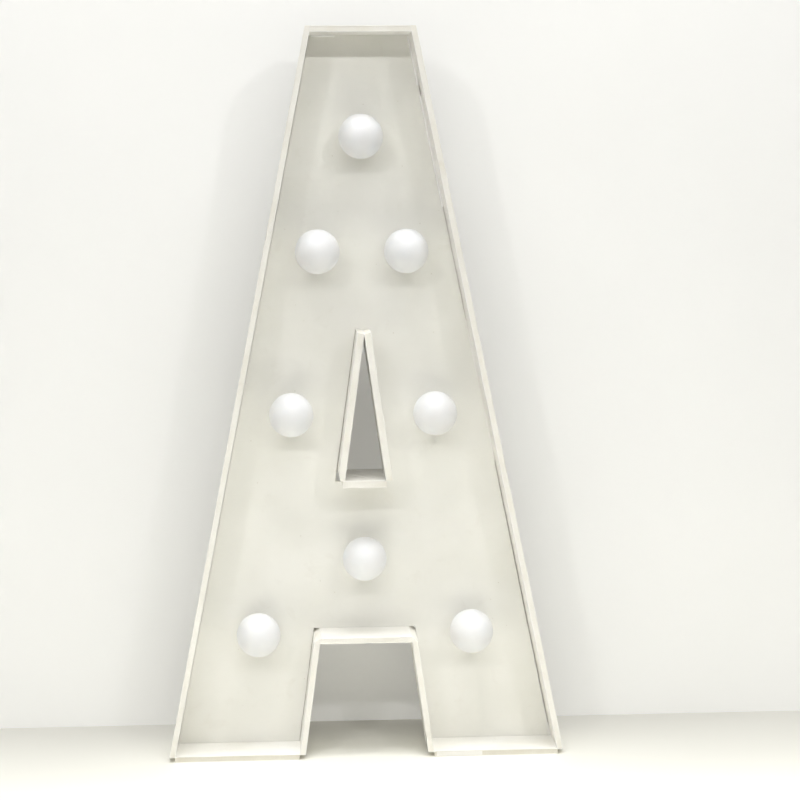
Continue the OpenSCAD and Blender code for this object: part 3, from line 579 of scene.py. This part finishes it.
def capMesh(b):
    bm = bmesh.new()
    top, end = b["capAt"] - b["collar"], b["capEnd"] + 2.2

    def thread(angle, radius, height):
        if height > top or height < end:
            return 0.0
        fade = min(1.0, (top - height) / 1.5, (height - end) / 1.5)
        wave = 0.5 + 0.5 * math.cos(2 * math.pi * height / b["pitch"] - angle)
        return -b["threadDeep"] * fade * (1 - wave)

    profile = [(b["capR"] - 0.6, b["capAt"] - 0.05), (b["capR"] - 0.15, b["capAt"]),
               (b["capR"], b["capAt"] - 0.3), (b["capR"], b["capAt"] - 1.2),
               (b["capR"] - 0.35, b["capAt"] - 1.6), (b["capR"], b["capAt"] - 2.0)]
    count = b["threadRings"]
    profile += [(b["capR"], top + (end - top) * k / count) for k in range(count + 1)]
    profile += [(b["capR"] - 0.2, end - 0.5), (b["capR"] - 0.8, end - 1.1), (b["capR"] - 1.8, end - 1.7),
                (b["capR"] - 2.8, b["capEnd"] + 0.05), (b["tipR"] - 0.2, b["capEnd"]),
                (b["eyeletR"] + 0.4, b["capEnd"] + 0.05), (b["eyeletR"] + 0.4, b["capEnd"] + 0.6)]
    lathe(bm, profile, b["turns"], 0, thread)
    return toMesh("bulb_cap", bm, [capFinish], 40.0)


def tipMesh(b):
    bm = bmesh.new()
    glass = [(b["eyeletR"], b["capEnd"] + 0.3), (b["eyeletR"], b["tipAt"]), (b["tipR"] - 0.5, b["tipAt"]),
             (b["tipR"], b["tipAt"] - 0.4)]
    for k in range(1, 9):
        t = k / 8
        radius = b["tipR"] + (b["eyeletR"] + 0.9 - b["tipR"]) * t
        glass.append((radius, b["tipAt"] - 0.4 + (b["tipEnd"] - b["tipAt"] + 0.4) * t ** 0.7))
    glass += [(b["eyeletR"] - 0.3, b["tipEnd"])]
    lathe(bm, [(0.0, b["capEnd"] + 0.3)] + glass + [(0.0, b["tipEnd"])], b["tipTurns"])
    eyelet = [(0.0, b["tipEnd"] + 0.2), (b["eyeletR"] - 0.1, b["tipEnd"] + 0.2),
              (b["eyeletR"], b["tipEnd"] - 0.4)]
    rise = b["eyeletEnd"] - b["tipEnd"] + 0.5
    eyelet += [(b["eyeletR"] * math.cos(t), b["tipEnd"] - 0.5 + rise * math.sin(t))
               for t in (0.3, 0.6, 0.9, 1.2)]
    lathe(bm, eyelet + [(0.0, b["eyeletEnd"])], b["tipTurns"], 1)
    return toMesh("bulb_tip", bm, [glassFinish, brassFinish], 40.0)


# each piece's mesh, its slot, and the end of the name of the body that carries it
bulbMeshes = {"globe": (globeMesh(bulb), "globe_opal", ""), "neck": (neckMesh(bulb), "neck_white", ""),
              "cap": (capMesh(bulb), "plated_steel", ""), "tip": (tipMesh(bulb), "contact_brass", "_stage")}
bulbSpots = []
for k in range(1, 9):
    low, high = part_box(f"bulb_{k}_globe")
    spot = Vector(((low.x + high.x) / 2, bulb["panelBack"] * mm, (low.z + high.z) / 2))
    bulbSpots.append(spot)
    turn = Matrix.Rotation(math.radians(bulb["turnDeg"] * k), 4, "Z")  # no two bulbs screw home alike
    place = Matrix.Translation(spot) @ Matrix.Rotation(math.pi / 2, 4, "X") @ turn
    for part, (mesh, slot, stage) in bulbMeshes.items():
        node = f"bulb_{k}_{part}"
        placePiece(node + "_look", mesh, f"bulb_{k}{stage}", [node], place)
print("bulbs:", len(bulbSpots))


# Flex: one round sheathed cable from holder to holder, clipped flat to the panel's back
flex = {"radius": 3.0, "entryR": 18.0, "levelR": 33.0, "dropLen": 24.0, "high": 7.9, "boxWall": 3.0,
        "step": 4.0, "runs": [(7, 5), (5, 6), (7, 4), (4, 2), (2, 0), (0, 1), (1, 3)]}


def flexHeight(f, r):  # off the panel, at r from a holder's middle
    t = min(1.0, max(0.0, (r - f["levelR"]) / f["dropLen"]))
    return f["high"] + (f["radius"] - f["high"]) * (3 * t * t - 2 * t ** 3)


def layFlex(f):
    curve = bpy.data.curves.new("wiring_flex_sheath", "CURVE")
    curve.dimensions = "3D"
    curve.bevel_depth = f["radius"] * mm
    curve.bevel_resolution = 3
    curve.use_fill_caps = True
    curve.materials.append(sheathFinish)
    runs = [(bulbSpots[a], bulbSpots[b], True) for a, b in f["runs"]]
    boxLow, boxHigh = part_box("junction_box")
    runs.append((bulbSpots[7], Vector(((boxLow.x + boxHigh.x) / 2, bulbSpots[7].y, boxHigh.z)), False))
    for start, end, holderEnd in runs:
        span = (end - start).length / mm
        last = span - f["entryR"] if holderEnd else span + f["boxWall"]
        count = max(2, math.ceil((last - f["entryR"]) / f["step"]))
        spline = curve.splines.new("POLY")
        spline.points.add(count)
        for i, point in enumerate(spline.points):
            s = f["entryR"] + (last - f["entryR"]) * i / count
            height = flexHeight(f, min(s, span - s)) if holderEnd else f["high"]
            spot = start.lerp(end, s / span) + Vector((0.0, height * mm, 0.0))
            point.co = (*spot, 1.0)
        spline.use_smooth = True
    return placePiece("wiring_flex_sheath", curve, "letter", ["wiring_flex"])


layFlex(flex)
print("flex: laid")


# Screws: pan heads with a cross recess, two in each holder's flange and one in each corner of the box lid
screw = {"headR": 3.0, "headH": 1.7, "slotW": 0.9, "slotL": 3.4, "slotDeep": 1.0, "turns": 24}
holderScrews = {"ring": 26.0, "seat": 26.0, "turnsDeg": (90, 45, 135, 0, 0, 90, 100, 160)}
lidScrews = {"x": 37.5, "z": 32.5, "seat": 51.0, "scale": 0.85}


def screwMesh(s):
    bm = bmesh.new()
    dome = [(s["headR"], 0.0), (s["headR"], 0.35), (s["headR"] * 0.94, 0.8), (s["headR"] * 0.78, 1.25),
            (s["headR"] * 0.62, s["headH"] * 0.9)]
    lathe(bm, dome, s["turns"])
    rim = list(bm.verts)[-s["turns"]:]
    half, reach = s["slotW"] / 2 * mm, s["slotL"] / 2 * mm
    cross = [(reach, -half), (reach, half), (half, half), (half, reach), (-half, reach), (-half, half),
             (-reach, half), (-reach, -half), (-half, -half), (-half, -reach), (half, -reach),
             (half, -half)]
    top = [bm.verts.new((x, y, s["headH"] * mm)) for x, y in cross]
    floor = [bm.verts.new((x * 0.72, y * 0.72, (s["headH"] - s["slotDeep"]) * mm)) for x, y in cross]
    skinRings(bm, [top, floor])
    bm.faces.new(floor)
    rimEdges = [e for e in bm.edges if e.verts[0] in rim and e.verts[1] in rim]
    topEdges = [e for e in bm.edges if e.verts[0] in top and e.verts[1] in top]
    bmesh.ops.bridge_loops(bm, edges=rimEdges + topEdges)
    return toMesh("pan_head_screw", bm, [zincFinish], 30.0)


panHead = screwMesh(screw)
backward = Matrix.Rotation(-math.pi / 2, 4, "X")  # heads face the back
screws = []
for k, spot in enumerate(bulbSpots):
    for side in (0, 180):
        angle = math.radians(holderScrews["turnsDeg"][k] + side)
        out = holderScrews["ring"] * mm
        seat = spot + Vector((out * math.cos(angle), 0.0, out * math.sin(angle)))
        seat.y = holderScrews["seat"] * mm
        turn = Matrix.Rotation(0.7 * k + side, 4, "Z")  # each cross stops at an angle of its own
        place = Matrix.Translation(seat) @ backward @ turn
        name = f"holder_{k + 1}_screw_{1 + side // 180}"
        screws.append(placePiece(name, panHead, "letter", (), place))
lidLow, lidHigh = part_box("junction_box_lid")
lidMiddle = (lidLow + lidHigh) / 2
for i, (sx, sz) in enumerate(((-1, -1), (1, -1), (-1, 1), (1, 1))):
    seat = lidMiddle + Vector((sx * lidScrews["x"], 0.0, sz * lidScrews["z"])) * mm
    seat.y = lidScrews["seat"] * mm
    turn = Matrix.Rotation(1.1 * i, 4, "Z")
    place = Matrix.Translation(seat) @ backward @ turn @ Matrix.Scale(lidScrews["scale"], 4)
    screws.append(placePiece(f"lid_screw_{i + 1}", panHead, "letter", (), place))
print("screws:", len(screws))


# Trim on the front, in mm: sealant in the corner along the right wall, run in five lengths from z to z, and
# a short bead under the top board; tape on one foot's edge; a flake of skin lifted off one leg
seamBeads = {
    "seam_bead_1": {"z": (12, 180), "off": 1.5, "wide": 1.1, "high": 0.8, "finish": sealantFinish},
    "seam_bead_2": {"z": (494, 734), "off": 0.0, "wide": 2.2, "high": 0.6, "finish": skinFinish},
    "seam_bead_3": {"z": (925, 1110), "off": 0.0, "wide": 3.4, "high": 5.0, "finish": sealantFinish},
    "seam_bead_4": {"z": (1127, 1207), "off": 0.0, "wide": 3.4, "high": 5.0, "finish": sealantFinish},
    "seam_bead_5": {"z": (11, 33), "off": 0.0, "wide": 4.6, "high": 0.6, "finish": skinFinish}}
topBead = {"x": (-80, -39), "wide": 2.6, "high": 2.2}
footTape = {"x": (118, 195), "z": (1.6, 8.4), "recess": 0.35}
flake = {"z": (24, 46), "bow": 1.9, "thick": 0.4, "deep": 6.0, "steps": 14}
# a bead or tape across its width: shares of its width and height, full on the side where it starts
ribbonShape = {"outline": [(0.0, 0.0), (0.0, 0.96), (0.25, 1.0), (0.5, 0.97), (0.78, 0.82), (0.94, 0.5),
                           (1.0, 0.0)], "step": 3.0, "lumpMm": 11}


def ribbon(name, start, end, wide, high, across, finish):
    # a low rounded strip from start to end, on a surface that faces -Y, spread along across
    bm = bmesh.new()
    count = math.ceil((end - start).length / mm / ribbonShape["step"])
    rings = []
    for i in range(count + 1):
        spot = start.lerp(end, i / count)
        lump = 0.85 + 0.4 * noise.noise(spot / (ribbonShape["lumpMm"] * mm))
        size = min(1.0, lump, 0.3 + i / 3, 0.3 + (count - i) / 3)  # thinner at its ends
        ring = []
        for u, h in ribbonShape["outline"]:
            out = across * (u * wide * mm) - Vector((0.0, h * high * size * mm, 0.0))
            ring.append(bm.verts.new(spot + out))
        rings.append(ring)
    skinRings(bm, rings)
    bm.faces.new(rings[0])
    bm.faces.new(rings[-1])
    return placePiece(name, toMesh(name, bm, [finish], 60.0), "letter")


def liftFlake(f):  # bowed off the leg's inner side, and joined to it at the back
    bottom, top = (pair[0] for pair in boardPairs("right_leg_wall", "upright"))
    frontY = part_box("right_leg_wall")[0].y
    bm = bmesh.new()
    rings = []
    for i in range(f["steps"] + 1):
        z = (f["z"][0] + (f["z"][1] - f["z"][0]) * i / f["steps"]) * mm
        spot = bottom.lerp(top, (z - bottom.z) / (top.z - bottom.z))
        bow = f["bow"] * math.sin(math.pi * i / f["steps"]) ** 0.7
        inside = [(bow, 0.4), (0.7 * bow, 0.5 * f["deep"]), (0.02, f["deep"])]
        outside = [(off + f["thick"], back) for off, back in reversed(inside)]
        ring = []
        for off, back in inside + outside:
            ring.append(bm.verts.new((spot.x - off * mm, frontY + back * mm, spot.z)))
        rings.append(ring)
    skinRings(bm, rings)
    bm.faces.new(rings[0])
    bm.faces.new(rings[-1])
    return placePiece("leg_flake", toMesh("leg_flake", bm, [skinFinish], 40.0), "letter")


panelFront = Vector((0.0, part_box("face_panel")[0].y, 0.0))
wallLow = boardPairs("right_wall_lower", "upright")[0][0]
wallTop = boardPairs("right_wall_upper", "upright")[-1][0]
wallWay = (wallTop - wallLow).normalized()
inwards = Vector((-wallWay.z, 0.0, wallWay.x))
for name, bead in seamBeads.items():
    ends = [wallLow.lerp(wallTop, (z * mm - wallLow.z) / (wallTop.z - wallLow.z)) for z in bead["z"]]
    ends = [spot + panelFront + inwards * (bead["off"] * mm) for spot in ends]
    ribbon(name, ends[0], ends[1], bead["wide"], bead["high"], inwards, bead["finish"])
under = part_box("top_board")[0].z
ends = [Vector((x * mm, 0.0, under)) + panelFront for x in topBead["x"]]
ribbon("top_bead", ends[0], ends[1], topBead["wide"], topBead["high"], Vector((0.0, 0.0, -1.0)),
       sealantFinish)
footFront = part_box("right_foot_board")[0].y + footTape["recess"] * mm
ends = [Vector((x * mm, footFront, footTape["z"][0] * mm)) for x in footTape["x"]]
ribbon("foot_tape", ends[0], ends[1], footTape["z"][1] - footTape["z"][0], 0.8 * footTape["recess"],
       Vector((0.0, 0.0, 1.0)), skinFinish)
liftFlake(flake)
print("trim: on")


# Studio: pale floor, a plain backdrop close behind that catches the letter's shadow, lamps high in front
# and a soft sky
studio = {"floor": "#fbfaf1", "floorShade": "#f8f7ee", "wall": "#f9f9f7", "wallShade": "#f6f6f3",
          "cloudMm": 400, "reach": 1.3, "backdropAt": 0.165, "floorGlow": 0.02, "backdropGlow": 0.12,
          "sky": 0.13, "skyTone": "#fffaee", "skySeen": "#ffffff"}
lamps = {
    "keyRow": {"watts": 42, "size": (5.0, 0.2), "at": (0, -4.0, 3.05), "aim": (0, 0, 0.65)},
    "keyLeft": {"watts": 18, "size": (0.14, 0.14), "at": (-2.1, -4.0, 3.05), "aim": (0, 0, 0.65)},
    "keyRight": {"watts": 18, "size": (0.14, 0.14), "at": (2.1, -4.0, 3.05), "aim": (0, 0, 0.65)},
    "frontHigh": {"watts": 18, "size": (4.0, 1.5), "at": (0, -2.2, 3.4), "aim": (0, 0, 0.5)},
    "overhead": {"watts": 52, "size": (3.0, 0.5), "at": (0, -0.5, 3.3), "aim": (0, -0.5, 0)},
    "floorWash": {"watts": 26, "size": (3.0, 0.8), "at": (0, -1.3, 3.3), "aim": (0, -1.3, 0), "spread": 45}}


def shownRays(tree):  # 1 for what the camera sees, straight or in metal and glass
    path = addNode(tree, "LightPath")
    seen = addNode(tree, "Math", {"operation": "MAXIMUM"},
                   {0: path.outputs["Is Camera Ray"], 1: path.outputs["Is Glossy Ray"]})
    seen = addNode(tree, "Math", {"operation": "MAXIMUM"},
                   {0: seen.outputs[0], 1: path.outputs["Is Transmission Ray"]})
    return seen.outputs[0]


def paintedBoard(name, tone, shade, lift, seeThrough):  # matt emulsion on a smooth board
    finish, tree, spot = newFinish(name)
    cloud = addNode(tree, "TexNoise", {"Scale": perMm(studio["cloudMm"]), "Detail": 2.0}, {"Vector": spot})
    colour = addNode(tree, "Mix", {"data_type": "RGBA", 6: linear(tone), 7: linear(shade)},
                     {0: cloud.outputs[0]})
    matt = addNode(tree, "BsdfDiffuse", {}, {"Color": colour.outputs[2]})
    strength = addNode(tree, "MapRange", {"To Max": lift}, {"Value": shownRays(tree)})
    glow = addNode(tree, "Emission", {}, {"Strength": strength.outputs[0]})
    surface = addNode(tree, "AddShader", {}, {0: matt.outputs[0], 1: glow.outputs[0]})
    if seeThrough:  # open from behind, so that the letter's back can be looked at
        behind = addNode(tree, "NewGeometry").outputs["Backfacing"]
        clear = addNode(tree, "BsdfTransparent")
        surface = addNode(tree, "MixShader", {}, {0: behind, 1: surface.outputs[0], 2: clear.outputs[0]})
    addNode(tree, "OutputMaterial", {}, {"Surface": surface.outputs[0]})
    return finish


def stageSheet(name, corners, finish):
    sheet = bpy.data.meshes.new(name)
    sheet.from_pydata(corners, [], [(0, 1, 2, 3)])
    sheet.materials.append(finish)
    stand = bpy.data.objects.new(name, sheet)
    scene.collection.objects.link(stand)
    return stand


def hangLamp(name, spec):
    light = bpy.data.lights.new(name, "AREA")
    light.energy = spec["watts"]
    light.shape = "RECTANGLE"
    light.size, light.size_y = spec["size"]
    light.spread = math.radians(spec.get("spread", 180))
    lamp = bpy.data.objects.new(name, light)
    scene.collection.objects.link(lamp)
    lamp.visible_camera = False
    lamp.location = spec["at"]
    lamp.rotation_euler = (Vector(spec["aim"]) - lamp.location).to_track_quat("-Z", "Y").to_euler()


def openSky(spec):  # dim and warm on the letter, white where the camera sees it
    sky = bpy.data.worlds.new("studioSky")
    sky.use_nodes = True
    tree = sky.node_tree
    tree.nodes.clear()
    seen = shownRays(tree)
    strength = addNode(tree, "MapRange", {"To Min": spec["sky"], "To Max": 1.0}, {"Value": seen})
    tone = addNode(tree, "Mix",
                   {"data_type": "RGBA", 6: linear(spec["skyTone"]), 7: linear(spec["skySeen"])}, {0: seen})
    glow = addNode(tree, "Background", {}, {"Color": tone.outputs[2], "Strength": strength.outputs[0]})
    addNode(tree, "OutputWorld", {}, {"Surface": glow.outputs[0]})
    scene.world = sky


floorPaint = paintedBoard("floorPaint", studio["floor"], studio["floorShade"], studio["floorGlow"], False)
wallPaint = paintedBoard("backdropPaint", studio["wall"], studio["wallShade"], studio["backdropGlow"], True)
reach, wallY = studio["reach"], studio["backdropAt"]
stageSheet("floor", [(-reach, -reach, 0), (reach, -reach, 0), (reach, reach, 0), (-reach, reach, 0)],
           floorPaint)
backdrop = stageSheet("backdrop", [(-reach, wallY, 0), (reach, wallY, 0), (reach, wallY, 2 * reach),
                                   (-reach, wallY, 2 * reach)], wallPaint)
backdrop.visible_diffuse = False  # it takes the shadow and keeps no light from the letter's back
backdrop.visible_shadow = False
for name, spec in lamps.items():
    hangLamp(name, spec)
openSky(studio)
print("studio:", len(lamps), "lamps and a sky")
